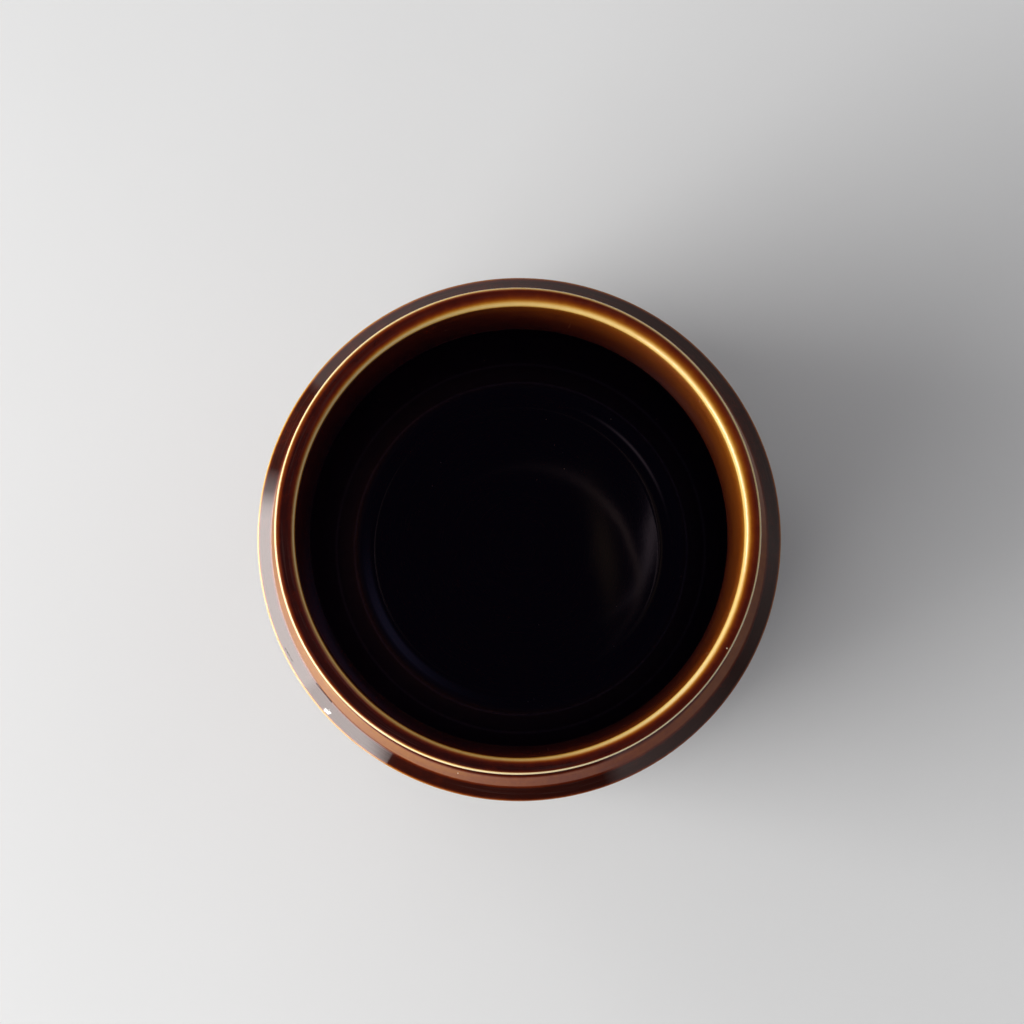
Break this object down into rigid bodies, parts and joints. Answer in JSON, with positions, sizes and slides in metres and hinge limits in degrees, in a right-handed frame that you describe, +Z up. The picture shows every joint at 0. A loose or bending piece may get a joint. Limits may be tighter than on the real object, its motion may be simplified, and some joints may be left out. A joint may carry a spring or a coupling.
{
  "type": "ceramic canister",
  "caption": "Open round canister of glazed stoneware, with a straight neck, a sloping shoulder and a foot ring, for holding dry food or tools.",
  "frame": {"origin": "centre of the foot ring, on the surface that the canister stands on", "axes": "+Z up along the axis of turning; X and Y are free, because the form is round"},
  "size_m": [0.1066, 0.1066, 0.118],
  "materials": {
    "treacle_glaze": "gloss"
  },
  "bodies": {
    "root": {"jar_body": "treacle_glaze"}
  },
  "joints": []
}
